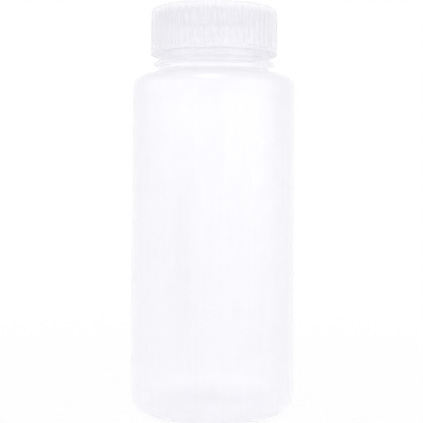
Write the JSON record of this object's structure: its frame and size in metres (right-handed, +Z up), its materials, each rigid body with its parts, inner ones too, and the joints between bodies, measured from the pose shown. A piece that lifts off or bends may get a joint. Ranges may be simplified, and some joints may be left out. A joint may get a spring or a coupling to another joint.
{
  "type": "wide-mouth reagent bottle",
  "caption": "Wide-mouth translucent plastic reagent bottle with a ribbed screw cap on a helical thread and a captive sealing disc.",
  "frame": {"origin": "centre of the bottle's foot, on the surface that it stands on", "axes": "+Z up along the bottle's axis, towards the cap; -Y faces the viewer"},
  "size_m": [0.073, 0.073, 0.1765],
  "materials": {
    "bottle_plastic": "satin",
    "disc_foam": "matte",
    "cap_plastic": "satin"
  },
  "bodies": {
    "bottle": {"bottle": "bottle_plastic"},
    "disc": {"sealing_disc": "disc_foam"},
    "cap": {"screw_cap": "cap_plastic"}
  },
  "joints": [
    {"name": "cap_lift", "type": "slide", "parent": "bottle", "child": "disc", "axis": [0, 0, 1], "range_m": [0, 0.02541]},
    {"name": "cap_turn", "type": "hinge", "parent": "disc", "child": "cap", "pos_m": [0, 0, 0.1667], "axis": [0, 0, 1], "range_deg": [0, 2160]}
  ],
  "couplings": [
    {"joint": "cap_lift", "follows": "cap_turn", "m_per_rad": 0.00067375}
  ]
}
